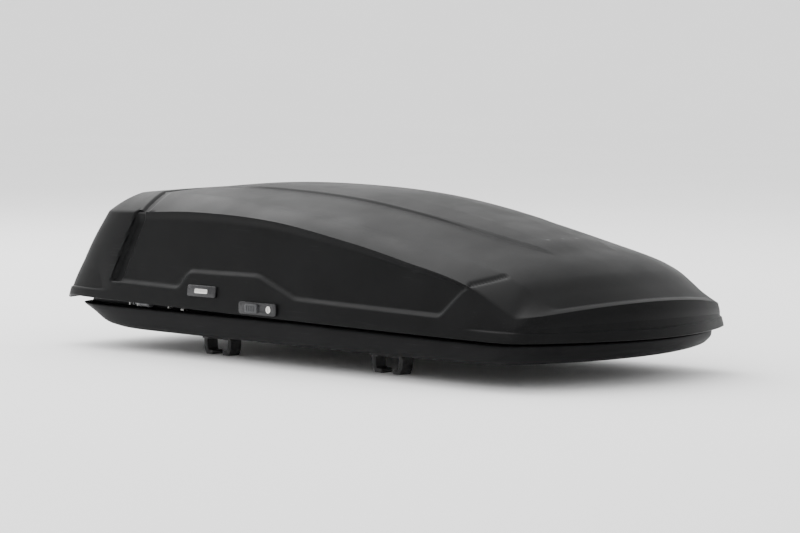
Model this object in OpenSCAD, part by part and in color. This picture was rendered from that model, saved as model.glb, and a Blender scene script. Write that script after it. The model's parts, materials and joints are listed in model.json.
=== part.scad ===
/* [Box] */
// Length of the box over the lid lip
box_l = 1900; // [1500:10:2300]
// Width of the box over the lid lip
box_w = 840; // [680:5:1000]
// Height of the lid's highest point above the underside of the floor
top_h = 395; // [330:5:480]
// Height of the lid lip above the underside of the floor, at the rear
lip_rear_z = 88; // [80:1:100]
// Height of the lid lip above the underside of the floor, at the nose
lip_front_z = 62; // [58:1:80]
// Thickness of the moulded lid and base
wall = 4; // [3:0.5:6]

/* [Side opening] */
// Distance of each hinge line from the side of the lid
hinge_in = 30; // [28:1:34]
// Height of both hinge lines above the underside of the floor
hinge_z = 80; // [78:1:82]
// Radius of the striker pins that the claws close over
striker_r = 4; // [3:0.5:4.5]
// Length of a striker pin
striker_l = 44; // [40:1:50]
// Gap all round a striker pin inside its claw
claw_gap = 0.4; // [0.2:0.1:0.8]
// Travel of the lock bars
lock_travel = 18; // [12:1:20]
// Places of the three catches along the box
catch_x = [-450, 90, 350];

/* [Lid lifters] */
// Place of the front pair of crossed arms
lifter_front_x = 497; // [480:1:510]
// Place of the rear pair of crossed arms
lifter_rear_x = -597; // [-620:1:-580]
// Thickness of an arm
arm_t = 8; // [5:0.5:10]
// Depth of an arm's bar
arm_w = 14; // [10:1:16]
// Radius of the pivot pins of the arms
pivot_r = 5; // [4:0.5:6]
// Radius of a spring barrel
barrel_r = 10.5; // [9:0.5:11.5]
// Length of a spring barrel
barrel_l = 46; // [30:1:50]

/* [Lock] */
// Place of the middle of the lock plate along the box
lock_x = -55; // [-80:1:-40]
// Height of the lock's centre line above the underside of the floor
lock_z = 96; // [92:1:98]
// Length of the lock plate
lock_l = 146; // [130:1:160]
// Height of the lock plate
lock_h = 32; // [28:1:36]
// Radius of the key cylinder
key_r = 9; // [7:0.5:11]
// Place of the blank badge plate along the box
badge_x = -285; // [-290:1:-270]
// Height of the badge's centre line above the underside of the floor
badge_z = 128; // [120:1:132]
// Thickness of the badge plate
badge_t = 5; // [4:0.5:6]
// Length of the blank badge plate
badge_l = 115; // [80:1:140]
// Height of the blank badge plate
badge_h = 30; // [20:1:34]

/* [Clamps] */
// Place of the front roof bar
front_bar_x = 285; // [250:5:300]
// Place of the rear roof bar
rear_bar_x = -385; // [-400:5:-350]
// Distance of the clamps from the middle of the box
clamp_y = 265; // [240:5:290]
// How far each clamp slides either way
clamp_travel = 100; // [50:5:100]
// Widest roof bar that the jaws close round
bar_w = 80; // [60:1:84]
// Tallest roof bar that the jaws close round
bar_h = 30; // [20:1:34]
// Thickness of a jaw's hook
hook_t = 11; // [8:0.5:14]
// Width of a jaw
jaw_w = 36; // [24:1:40]
// Radius of a jaw's pivot pin
jaw_pin_r = 3; // [2:0.5:3.5]
// Radius of the spindle
spindle_r = 5; // [4:0.5:7]
// Radius of the knob
knob_r = 31; // [24:1:36]
// Thickness of the rubber saddle pad
pad_t = 4; // [3:0.5:6]

/* [Fits] */
// Radial clearance of a turning pin or spindle
run = 0.05; // [0.02:0.01:0.08]
// Gap between flat faces that slide on each other
slip = 0.3; // [0.2:0.05:0.5]

/* [Hidden] */
$fn = 48;

// ---- frame ----
// z 0 of the frame is the underside of the jaws; the floor's underside is drop above it.
saddle_t = 8;
drop = slip + saddle_t + pad_t + bar_h + 2 + hook_t;
half_l = box_l / 2;
half_w = box_w / 2;
hinge_y = half_w - hinge_in;
steps = 128;
tail_n = 11;
// The nose is an arc that meets the drawn-in sides at rounded corners.
nose_bow = 0.15;
side_bow = 0.07;
corner_n = 36;

// ---- curves ----
function ease(t) = t <= 0 ? 0 : t >= 1 ? 1 : t * t * (3 - 2 * t);
function mix(a, b, t) = a + (b - a) * t;
function part_of(x, k, i = 0) = i >= len(k) - 2 || x < k[i + 1][0] ? i : part_of(x, k, i + 1);
function slope(k, i) =
  let (lo = max(i - 1, 0), hi = min(i + 1, len(k) - 1))
  (k[hi][1] - k[lo][1]) / (k[hi][0] - k[lo][0]);
// Smooth curve through the points of k.
function curve(x, k) =
  let (i = part_of(x, k),
       h = k[i + 1][0] - k[i][0],
       t = min(max((x - k[i][0]) / h, 0), 1))
  (2 * t ^ 3 - 3 * t ^ 2 + 1) * k[i][1] + (t ^ 3 - 2 * t ^ 2 + t) * h * slope(k, i)
  + (3 * t ^ 2 - 2 * t ^ 3) * k[i + 1][1] + (t ^ 3 - t ^ 2) * h * slope(k, i + 1);

// One over the distance to the line y = 1 - bow * x ^ 2, along the direction x = p, y = q.
function nearness(p, q, bow) = (q + sqrt(q * q + 4 * bow * p * p)) / 2;
// Distance to the nose's outline, in shares of its half length and width.
function nose_reach(c, s) =
  (nearness(c, s, side_bow) ^ corner_n + nearness(s, c, nose_bow) ^ corner_n) ^ (-1 / corner_n);
// Point i of a rounded outline: nose at +X, tail at -X.
function plan(front, rear, side, i) =
  let (a = 360 * i / steps, c = cos(a), s = sin(a),
       r = c > 0 ? nose_reach(c, abs(s)) : (abs(c) ^ tail_n + abs(s) ^ tail_n) ^ (-1 / tail_n))
  [(c > 0 ? front : rear) * c * r, side * s * r];
// Half width at x of an outline, behind the nose's corners.
function plan_y(front, rear, side, x) =
  x > 0 ? side * (1 - side_bow * (x / front) ^ 2)
  : side * (1 - min(-x / rear, 1) ^ tail_n) ^ (1 / tail_n);

// Height lines as shares of the half length and of the top height.
spine_line = [[-0.80, 0.927], [-0.587, 0.985], [-0.247, 1], [0.075, 0.967], [0.382, 0.861],
              [0.675, 0.706], [0.80, 0.625], [0.874, 0.549], [0.926, 0.461], [0.979, 0.367]];
shoulder_line = [[-0.842, 0.81], [-0.667, 0.817], [-0.378, 0.842], [-0.05, 0.812],
                 [0.259, 0.708], [0.457, 0.617], [0.695, 0.486], [0.854, 0.30]];
ledge_line = [[-0.95, 0.345], [-0.695, 0.336], [-0.412, 0.323], [-0.370, 0.438],
              [-0.078, 0.443], [0.079, 0.313], [0.626, 0.282], [0.695, 0.466]];
camber_line = [[-0.64, 12], [-0.3, 25], [0.02, 38], [0.33, 36], [0.62, 29], [0.9, 18]];
corner_u = 0.854;
nose_rise = 32;
crown_y = half_w - 115;
recess = 7;
step_h = 6;

function lip_z(x) = mix(lip_rear_z, lip_front_z, (x / half_l + 1) / 2);
function setback(y) = half_l * nose_bow * (y / half_w) ^ 2;
function crown_z(x, y) =
  top_h * curve((x + setback(y)) / half_l, spine_line)
  - curve(x / half_l, camber_line) * (y / crown_y) ^ 2;
function shoulder_z(x, y) =
  let (corner_y = plan_y(half_l - 12, half_l, half_w - 36, corner_u * half_l))
  x < corner_u * half_l ? top_h * curve(x / half_l, shoulder_line)
  : top_h * shoulder_line[7][1] + nose_rise * (1 - min(abs(y) / corner_y, 1) ^ 2);
function ledge_z(x, y) =
  x > 0.695 * half_l ? shoulder_z(x, y) - 8 : top_h * lookup(x / half_l, ledge_line);
function recess_at(x) =
  recess * ease((x / half_l + 0.72) / 0.04) * (1 - ease((x / half_l - 0.66) / 0.05));
function step_at(x) =
  step_h * ease((x / half_l + 0.60) / 0.12) * (1 - ease((x / half_l - 0.74) / 0.14));

// Insets of the skin from the lip's outline at the shoulder: nose, tail and side.
lean_nose = 12;
lean_tail = 150;
lean_side = 36;

// Rows of the lid's lower skin run from the lip to the shoulder, and those of the upper skin
// from there to the middle: front, rear and side of each outline.
low_rows = ["lip", "band", "ledge", "panel", "mid", "shoulder"];
top_rows = [
  [half_l - 45, half_l - 203, crown_y], [half_l - 85, half_l - 240, crown_y - 70],
  [half_l - 115, half_l - 300, 170], [half_l - 127, half_l - 312, 158],
  [half_l - 330, half_l - 520, 70]];

function low_z(kind, x, y) =
  kind == "lip" ? lip_z(x)
  : kind == "band" ? mix(lip_z(x), ledge_z(x, y), 0.75)
  : kind == "ledge" ? ledge_z(x, y)
  : kind == "panel" ? ledge_z(x, y) + 6
  : kind == "mid" ? mix(ledge_z(x, y) + 6, shoulder_z(x, y), 0.5)
  : shoulder_z(x, y);
function sunk(p, d) = [p[0], p[1] - sign(p[1]) * d * min(abs(p[1]) / half_w * 2, 1)];
// One row of the lower skin, inset inwards by t and lowered by low.
function low_row(kind, t, low) = [for (i = [0 : steps - 1])
  let (p = plan(half_l, half_l, half_w, i),
       f = (low_z(kind, p[0], p[1]) - lip_z(p[0])) / (shoulder_z(p[0], p[1]) - lip_z(p[0])),
       q = plan(half_l - lean_nose * f - t, half_l - lean_tail * f ^ 1.15 - t,
                half_w - lean_side * f ^ 1.3 - t, i),
       d = kind == "panel" || kind == "mid" ? recess_at(q[0]) : 0,
       r = sunk(q, d))
  [r[0], r[1], drop + low_z(kind, q[0], q[1]) - low]];
function top_row(r, t, low, step) = [for (i = [0 : steps - 1])
  let (p = plan(r[0] - t, r[1] - t, r[2] - t, i))
  [p[0], p[1], drop + crown_z(p[0], p[1]) - low + (step ? step_at(p[0]) : 0)]];
lid_outer = concat([for (k = low_rows) low_row(k, 0, 0)],
                   [for (k = [0 : len(top_rows) - 1]) top_row(top_rows[k], 0, 0, k > 2)]);
lid_inner = concat([low_row("lip", wall, 1), low_row("panel", wall + 0.5, 0),
                    low_row("shoulder", wall + 1, wall)],
                   [for (k = [0, 2, 4]) top_row(top_rows[k], wall, wall, false)]);

// Rows of the base's skin, from the floor up: front, rear, side, lift and share of the lip.
rim_side = hinge_y - 16;
base_rows = [
  [half_l - 170, half_l - 260, half_w - 80, 0, 0], [half_l - 112, half_l - 205, half_w - 48, 3, 0],
  [half_l - 68, half_l - 150, half_w - 25, 16, 0], [half_l - 42, half_l - 90, half_w - 20, 0, 0.55],
  [half_l - 38, half_l - 40, half_w - 20, -9, 1], [half_l - 58, half_l - 60, rim_side, -8, 1],
  [half_l - 58, half_l - 60, rim_side, 12, 1]];
// The gutter under the hinge lines stays this far below them.
gutter = 14.5;
base_inner = [base_rows[6], base_rows[5], base_rows[4], base_rows[3], base_rows[2], base_rows[0]];

function base_row(r, inset, lift) = [for (i = [0 : steps - 1])
  let (p = plan(r[0] - inset, r[1] - inset, r[2] - inset, i))
  [p[0], p[1], drop + min(r[3] + r[4] * lip_z(p[0]), r[3] > 0 ? top_h : hinge_z - gutter) + lift]];
function rim_y(x) = plan_y(base_rows[6][0], base_rows[6][1], rim_side, x);
function rim_z(x) = drop + lip_z(x) + 12;

// Closed skin through rows of equal length, capped across at both ends.
module skin(rows) {
  n = len(rows);
  points = [for (r = rows) for (p = r) p];
  sides = [for (k = [0 : n - 2]) for (i = [0 : steps - 1])
    let (j = (i + 1) % steps, a = k * steps, b = a + steps)
    each [[a + i, b + i, b + j], [a + i, b + j, a + j]]];
  function cap(o, flip) = [for (i = [0 : steps / 2 - 1])
    let (a = o + i, b = o + i + 1, c = o + (steps - i - 1) % steps, d = o + (steps - i) % steps)
    each (i == 0 ? [flip ? [a, b, c] : [c, b, a]]
      : i == steps / 2 - 1 ? [flip ? [a, b, d] : [d, b, a]]
      : flip ? [[a, b, c], [a, c, d]] : [[c, b, a], [d, c, a]])];
  polyhedron(points, concat(sides, cap(0, false), cap((n - 1) * steps, true)));
}

// ---- helpers ----
module right() { children(); }
module left() { mirror([0, 1, 0]) children(); }
module along_x(x0, x1, y, z, r) {
  translate([x0, y, z]) rotate([0, 90, 0]) cylinder(r = r, h = x1 - x0);
}
module plate_x(x0, x1) {
  translate([x0, 0, 0]) rotate([90, 0, 90]) linear_extrude(x1 - x0) children();
}
module plate_y(y0, y1) {
  translate([0, y1, 0]) rotate([90, 0, 0]) linear_extrude(y1 - y0) children();
}
// Outline of a bar of width w along a path, mitred at its corners.
function unit(v) = v / norm(v);
function turned(v) = [-v[1], v[0]];
function side_point(path, i, d) =
  let (last = len(path) - 1,
       before = unit(path[max(i, 1)] - path[max(i, 1) - 1]),
       after = unit(path[min(i, last - 1) + 1] - path[min(i, last - 1)]),
       m = unit(turned(before) + turned(after)))
  path[i] + m * d / (m * turned(before));
function band(path, w) = concat(
  [for (i = [0 : len(path) - 1]) side_point(path, i, w / 2)],
  [for (i = [len(path) - 1 : -1 : 0]) side_point(path, i, -w / 2)]);
module soft_rect(l, w, r) {
  square([l - 2 * r, w], center = true);
  square([l, w - 2 * r], center = true);
  for (x = [-1, 1], y = [-1, 1]) translate([x * (l / 2 - r), y * (w / 2 - r)]) circle(r);
}
module block(x0, x1, y0, y1, z0, z1) {
  translate([x0, y0, z0]) cube([x1 - x0, y1 - y0, z1 - z0]);
}

// ---- base ----
floor_t = wall;
rail_t = 4;
rail_w = 90;
neck_w = 24;
neck_l = 36;
slot_w = neck_w + 2 * slip;
slot_half = neck_l / 2 + clamp_travel + slot_w / 2 + 1;
hz = drop + hinge_z;

module floor_slots(low, high) {
  for (x = [front_bar_x, rear_bar_x], y = [-clamp_y, clamp_y])
    translate([x, y, low]) linear_extrude(high - low) {
      square([2 * slot_half - slot_w, slot_w], center = true);
      for (s = [-1, 1]) translate([s * (slot_half - slot_w / 2), 0]) circle(d = slot_w);
    }
}
module base_shell() {
  color("#26272a") resize([0, 0, 0]) difference() {
    skin([for (r = base_rows) base_row(r, 0, 0)]);
    skin(concat([for (i = [len(base_inner) - 1 : -1 : 0])
      base_row(base_inner[i], wall, i == 0 ? 1 : i > 3 ? floor_t : 0)]));
    floor_slots(drop - 1, drop + 20);
  }
}
rail_x0 = rear_bar_x - slot_half - 30;
rail_x1 = front_bar_x + slot_half + 30;
module rail() {
  z = drop + floor_t;
  color("#b9bcc0") difference() {
    block(rail_x0, rail_x1, -clamp_y - rail_w / 2, -clamp_y + rail_w / 2, z, z + rail_t);
    floor_slots(z - 1, z + rail_t + 1);
  }
}
module rail_rivets() {
  z = drop + floor_t + rail_t;
  mid = (front_bar_x + rear_bar_x) / 2;
  color("#8f9296") for (s = [-1, 1], x = [rail_x0 + 12, mid, rail_x1 - 12], y = [-34, 34])
    translate([x, s * clamp_y + y, z]) {
      cylinder(r = 5, h = 1.2);
      translate([0, 0, 1.2]) cylinder(r1 = 5, r2 = 2.5, h = 1.2);
    }
}

// ---- catches: pins on the base ----
module strikers() {
  color("#9a9da1") for (x = catch_x) {
    wall_y = max(rim_y(x), rim_y(x - 24)) + 0.2;
    along_x(x - 4, x + striker_l, -hinge_y, hz, striker_r);
    difference() {
      block(x - 5, x, -hinge_y - 7, -wall_y, hz - 8, hz + 8);
      along_x(x - 6, x + 1, -hinge_y, hz, striker_r);
    }
    block(x - 24, x - 5, -wall_y - 2, -wall_y, hz - 8, hz + 8);
  }
}
// Ear, pin and plate that hold an arm's eye to the base. in_x is the arm's face, dir points away.
module base_ear(x, dir) {
  pin_in = arm_t + 1;
  x0 = dir > 0 ? x : x - 5;
  difference() {
    block(x0, x0 + 5, -hinge_y - 9, -rim_y(x) - 0.2, hz - 9, hz + 9);
    along_x(x0 - 1, x0 + 6, -hinge_y, hz, pivot_r);
  }
  along_x(dir > 0 ? x - pin_in : x - 5, dir > 0 ? x + 5 : x + pin_in, -hinge_y, hz, pivot_r);
}
module barrel(x, dir) {
  x0 = dir > 0 ? x + 5 : x - 5 - barrel_l;
  along_x(x0, x0 + barrel_l, -hinge_y, hz, barrel_r);
  along_x(x0 + 6, x0 + 10, -hinge_y, hz, barrel_r + 0.8);
  along_x(x0 + barrel_l - 10, x0 + barrel_l - 6, -hinge_y, hz, barrel_r + 0.8);
}
// The arm planes: arm A lies outward of the pair's middle, arm B inward.
plane = 3;
function arm_a_x(m) = m > 0 ? m + plane : m - plane - arm_t;
function arm_b_x(m) = m > 0 ? m - plane - arm_t : m + plane;
ear_gap = 1;
// On the left line the base holds arm A; on the right line it holds arm B.
function ear_x(m, left_side) =
  left_side ? (m > 0 ? arm_a_x(m) + arm_t + ear_gap : arm_a_x(m) - ear_gap)
  : (m > 0 ? arm_b_x(m) - ear_gap : arm_b_x(m) + arm_t + ear_gap);
function ear_dir(m, left_side) = (m > 0 ? 1 : -1) * (left_side ? 1 : -1);
function lug_x(m, left_side) = ear_x(m, !left_side);
function lug_dir(m, left_side) = ear_dir(m, !left_side);
lifters = [lifter_front_x, lifter_rear_x];

module lifter_brackets(left_side) {
  color("#6e7175") for (m = lifters) base_ear(ear_x(m, left_side), ear_dir(m, left_side));
}
module spring_barrels(left_side) {
  color("#3a3b3e") for (m = lifters) barrel(ear_x(m, left_side), ear_dir(m, left_side));
}

// ---- arms ----
arm_top = hz + 34;
module arm_outline() {
  path = [[-hinge_y, hz], [-hinge_y + 3, hz + 26], [-hinge_y + 26, arm_top],
          [hinge_y - 26, arm_top], [hinge_y - 3, hz + 26], [hinge_y, hz]];
  difference() {
    union() {
      polygon(band(path, arm_w));
      for (s = [-1, 1]) translate([s * hinge_y, hz]) circle(pivot_r + 3.5);
    }
    for (s = [-1, 1]) translate([s * hinge_y, hz]) circle(pivot_r + run);
  }
}
module lifter_arms_a() {
  color("#55585c") for (m = lifters)
    plate_x(arm_a_x(m), arm_a_x(m) + arm_t) arm_outline();
}
module lifter_arms_b() {
  color("#55585c") for (m = lifters)
    plate_x(arm_b_x(m), arm_b_x(m) + arm_t) arm_outline();
}

// ---- lid ----
lock_hole_l = lock_l - 18;
lock_hole_h = lock_h - 8;
module lid_shell() {
  color("#1d1e20") resize([0, 0, 0]) difference() {
    skin(lid_outer);
    skin(lid_inner);
    for (s = [-1, 1]) translate([lock_x, s * half_w, drop + lock_z])
      cube([lock_hole_l + 1, 60, lock_hole_h + 1], center = true);
  }
}
beam_x0 = catch_x[0] - 90;
beam_x1 = catch_x[2] + 90;
beam_z = hz + 26;
beam_h = 16;
beam_wall = 3;
// The beam's two faces, seen from the hinge line: towards the side and towards the middle.
beam_out = 4;
beam_in = 14;
module lid_beam() {
  color("#7c7f83") difference() {
    block(beam_x0, beam_x1, -hinge_y - beam_out, -hinge_y + beam_in, beam_z, beam_z + beam_h);
    block(beam_x0 - 1, beam_x1 + 1, -hinge_y - beam_out + beam_wall, -hinge_y + beam_in - beam_wall,
          beam_z + beam_wall, beam_z + beam_h + 1);
  }
}
claw_t = 14;
// The lock bar runs this far inside the hinge line.
bar_in = 6;
bar_t = 6;
claw_r = striker_r + claw_gap + 4.4;
module claws() {
  mouth = striker_r + claw_gap;
  color("#5b5e62") for (x = catch_x) plate_x(x + 6, x + 6 + claw_t) difference() {
    union() {
      translate([-hinge_y, hz]) circle(claw_r);
      translate([-hinge_y - beam_out, hz]) square([beam_out + bar_in - slip, beam_z - hz]);
    }
    translate([-hinge_y, hz]) circle(mouth);
    translate([-hinge_y - mouth, hz - claw_r - 1]) square([2 * mouth, claw_r + 1]);
    translate([-hinge_y - claw_r - 1, hz - claw_r - 1]) square([2 * claw_r + 2, claw_r - 3]);
  }
}
// Room between a lug and the lip's outline, because the lid's side leans in as it rises.
lug_gap = 12;
// Lugs on the lid that carry an arm's far eye.
module lid_lug(x, dir) {
  x0 = dir > 0 ? x : x - 5;
  side_y = plan_y(half_l, half_l, half_w, x) - wall - lug_gap;
  difference() {
    block(x0, x0 + 5, -side_y, -hinge_y + 7, hz - 7, hz + 20);
    along_x(x0 - 1, x0 + 6, -hinge_y, hz, pivot_r);
  }
  along_x(dir > 0 ? x - arm_t - 1 : x - 5, dir > 0 ? x + 5 : x + arm_t + 1, -hinge_y, hz, pivot_r);
}
module lid_lugs(left_side) {
  color("#6e7175") for (m = lifters) lid_lug(lug_x(m, left_side), lug_dir(m, left_side));
}
brace_x = [-330, 40];
brace_gap = 6;
module lid_braces() {
  color("#4a4c50") for (x = brace_x) plate_x(x, x + 40)
    polygon(concat(
      [for (i = [-10 : 10]) let (y = i * 28) [y, drop + crown_z(x + 20, y) - wall - brace_gap]],
      [for (i = [10 : -1 : -10]) let (y = i * 28) [y, drop + crown_z(x + 20, y) - wall - brace_gap - 12]]));
}

// ---- lock ----
bar_y0 = hinge_y - bar_in - bar_t;
bar_y1 = hinge_y - bar_in;
bar_z0 = hz + 12;
bar_z1 = hz + 24;
tongue_t = 12;
module lock_bar() {
  color("#8a8d91") {
    block(catch_x[0] + striker_l, catch_x[2] + striker_l + 20, -bar_y1, -bar_y0, bar_z0, bar_z1);
    for (x = catch_x) {
      x0 = x + striker_l + 2;
      block(x0, x0 + tongue_t, -bar_y1, -bar_y0 - 2, hz - striker_r - 7, bar_z0);
      block(x0, x0 + tongue_t, -hinge_y - 4, -bar_y1, hz - striker_r - 7, hz - striker_r - 1.2);
    }
  }
}
face_y = half_w + 1;
stem_x = lock_x - 18;
stem_l = 18;
stem_h = 8;
module lock_plate() {
  color("#141516") difference() {
    union() {
      translate([lock_x, -face_y, drop + lock_z]) rotate([90, 0, 0])
        linear_extrude(3.5) soft_rect(lock_l, lock_h, 8);
      translate([lock_x, -face_y, drop + lock_z]) rotate([-90, 0, 0])
        linear_extrude(23) soft_rect(lock_hole_l, lock_hole_h, 5);
    }
    block(stem_x - stem_l / 2 - lock_travel - 1, stem_x + stem_l / 2 + 1, -face_y - 5, -face_y + 30,
          drop + lock_z - stem_h / 2 - slip, drop + lock_z + stem_h / 2 + slip);
    translate([lock_x + 45, -face_y + 30, drop + lock_z]) rotate([90, 0, 0])
      cylinder(r = key_r + run, h = 40);
  }
}
module slide_handle() {
  y0 = -face_y - 3.5 - slip;
  color("#3b3d40") {
    translate([stem_x, y0, drop + lock_z]) rotate([90, 0, 0]) linear_extrude(7)
      difference() {
        soft_rect(46, 22, 5);
        for (i = [-2 : 2]) translate([i * 7, 0]) square([2, 14], center = true);
      }
    translate([stem_x, y0, drop + lock_z]) rotate([90, 0, 0]) linear_extrude(2)
      soft_rect(44, 20, 4);
    block(stem_x - stem_l / 2, stem_x + stem_l / 2, y0, -bar_y1,
          drop + lock_z - stem_h / 2, drop + lock_z + stem_h / 2);
  }
}
module key_cylinder() {
  color("#c9ccd0") translate([lock_x + 45, -face_y + 22, drop + lock_z]) rotate([90, 0, 0])
    difference() {
      cylinder(r = key_r, h = 22 + 5);
      translate([-1, -6, 22 + 1]) cube([2, 12, 5]);
    }
}
// Half width of the lower skin at a place and a height, clear of the panel.
function side_y(x, z) =
  let (f = (z - lip_z(x)) / (shoulder_z(x, half_w) - lip_z(x)))
  plan_y(half_l, half_l, half_w, x) - lean_side * f ^ 1.3;
badge_low_y = side_y(badge_x, badge_z - badge_h / 2);
badge_high_y = side_y(badge_x, badge_z + badge_h / 2);
module badge() {
  color("#101112") translate([badge_x, -(badge_low_y + badge_high_y) / 2 - 0.3, drop + badge_z])
    rotate([90 - atan((badge_low_y - badge_high_y) / badge_h), 0, 0])
      linear_extrude(badge_t) soft_rect(badge_l, badge_h, 5);
}

// ---- clamps ----
housing_l = 100;
housing_w = 66;
housing_h = 36;
house_z = floor_t + rail_t + slip;
knob_z = house_z + housing_h + slip;
ear_w = 4.5;
jaw_x = bar_w / 2 + 10;
jaw_z = -slip - 7;
bar_top = -slip - saddle_t - pad_t;
pad_l = 56;
// The spindle runs from the bottom of its hole in the neck to the top of its hole in the knob.
neck_floor = 1;
knob_bore = 12;
clamps = [["front_right", front_bar_x, -1], ["front_left", front_bar_x, 1],
          ["rear_right", rear_bar_x, -1], ["rear_left", rear_bar_x, 1]];

module at_clamp(c) { translate([c[1], c[2] * clamp_y, drop]) children(); }

module clamp_housing() {
  color("#232427") difference() {
    union() {
      translate([0, 0, house_z]) linear_extrude(housing_h - 8) soft_rect(housing_l, housing_w, 12);
      translate([0, 0, house_z + housing_h - 8]) linear_extrude(8)
        soft_rect(housing_l - 12, housing_w - 12, 10);
    }
    translate([0, 0, house_z - 1]) cylinder(r = spindle_r + run, h = housing_h + 2);
  }
}
module clamp_saddle() {
  ear_y = jaw_w / 2 + slip;
  color("#2d2e31") {
    difference() {
      union() {
        translate([0, 0, -slip - saddle_t]) linear_extrude(saddle_t) soft_rect(jaw_x * 2 - 16, 52, 6);
        block(-neck_l / 2, neck_l / 2, -neck_w / 2, neck_w / 2, -slip, house_z);
        for (sx = [-1, 1], sy = [-1, 1]) translate([sx * (jaw_x - 7), sy * (ear_y + ear_w / 2), -slip - 6.5])
          cube([28, ear_w, 13], center = true);
      }
      for (sx = [-1, 1]) {
        translate([sx * jaw_x, 0, jaw_z]) rotate([90, 0, 0])
          cylinder(r = jaw_pin_r + run, h = 2 * (ear_y + ear_w) + 2, center = true);
        translate([sx * (jaw_x + 4), 0, jaw_z]) cube([27, 2 * ear_y, 40], center = true);
      }
      translate([0, 0, neck_floor]) cylinder(r = spindle_r + run, h = house_z - neck_floor + 1);
    }
  }
}
module clamp_pad() {
  color("#121212") translate([0, 0, bar_top]) difference() {
    linear_extrude(pad_t) soft_rect(pad_l, 48, 6);
    for (i = [-3 : 3]) translate([i * 7.5, 0, 0]) cube([2.5, 60, 2], center = true);
  }
}
module clamp_knob() {
  color("#a61e22") translate([0, 0, knob_z]) difference() {
    union() {
      cylinder(r = knob_r, h = 7);
      translate([0, 0, 7]) cylinder(r1 = knob_r - 1, r2 = knob_r - 7, h = 4);
      translate([0, 0, 11]) linear_extrude(12) soft_rect(50, 14, 6.5);
    }
    for (i = [0 : 11]) rotate(i * 30) translate([knob_r + 1, 0, -1]) cylinder(r = 3, h = 9);
    translate([0, 0, -1]) cylinder(r = spindle_r, h = knob_bore + 1);
  }
}
module clamp_spindle() {
  color("#c0c3c7") translate([0, 0, neck_floor + slip])
    cylinder(r = spindle_r, h = knob_z + knob_bore - neck_floor - slip);
}
module clamp_jaw(s) {
  low = bar_top - bar_h;
  color("#2a2b2e") {
    plate_y(-jaw_w / 2, jaw_w / 2) {
      translate([s * jaw_x, jaw_z]) circle(5.5);
      polygon([for (p = [[jaw_x - 5.5, jaw_z], [jaw_x + 5.5, jaw_z], [jaw_x + 7, jaw_z - 12],
        [jaw_x + 5, low + 4], [jaw_x - 3, low - 2 - hook_t], [bar_w / 2 - 18, low - 2 - hook_t],
        [bar_w / 2 - 20, low - 5], [bar_w / 2 - 16, low - 2], [bar_w / 2 - 2, low - 2],
        [bar_w / 2 + 2, low + 3], [bar_w / 2 + 2, jaw_z - 14]]) [s * p[0], p[1]]]);
    }
    translate([s * jaw_x, 0, jaw_z]) rotate([90, 0, 0])
      cylinder(r = jaw_pin_r, h = jaw_w + 2 * slip + 2 * ear_w, center = true);
  }
}

base_shell();
right() rail();  // rail_right
left() rail();  // rail_left
rail_rivets();
right() strikers();  // strikers_right
left() strikers();  // strikers_left
right() lifter_brackets(false);  // lifter_brackets_right
left() lifter_brackets(true);  // lifter_brackets_left
right() spring_barrels(false);  // spring_barrels_right
left() spring_barrels(true);  // spring_barrels_left
lid_shell();
right() lid_beam();  // lid_beam_right
left() lid_beam();  // lid_beam_left
lid_braces();
right() claws();  // claws_right
left() claws();  // claws_left
right() lid_lugs(false);  // lid_lugs_right
left() lid_lugs(true);  // lid_lugs_left
right() lock_plate();  // lock_plate_right
left() lock_plate();  // lock_plate_left
right() badge();  // badge_right
left() badge();  // badge_left
right() lock_bar();  // lock_bar_right
left() lock_bar();  // lock_bar_left
right() slide_handle();  // slide_handle_right
left() slide_handle();  // slide_handle_left
right() key_cylinder();  // key_cylinder_right
left() key_cylinder();  // key_cylinder_left
lifter_arms_a();
lifter_arms_b();
for (c = clamps) {
  name = str("clamp_", c[0]);
  at_clamp(c) clamp_housing();
  at_clamp(c) clamp_saddle();
  at_clamp(c) clamp_pad();
  at_clamp(c) clamp_knob();
  at_clamp(c) clamp_spindle();
  at_clamp(c) clamp_jaw(1);
  at_clamp(c) clamp_jaw(-1);
}
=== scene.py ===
import json
import math

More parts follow.
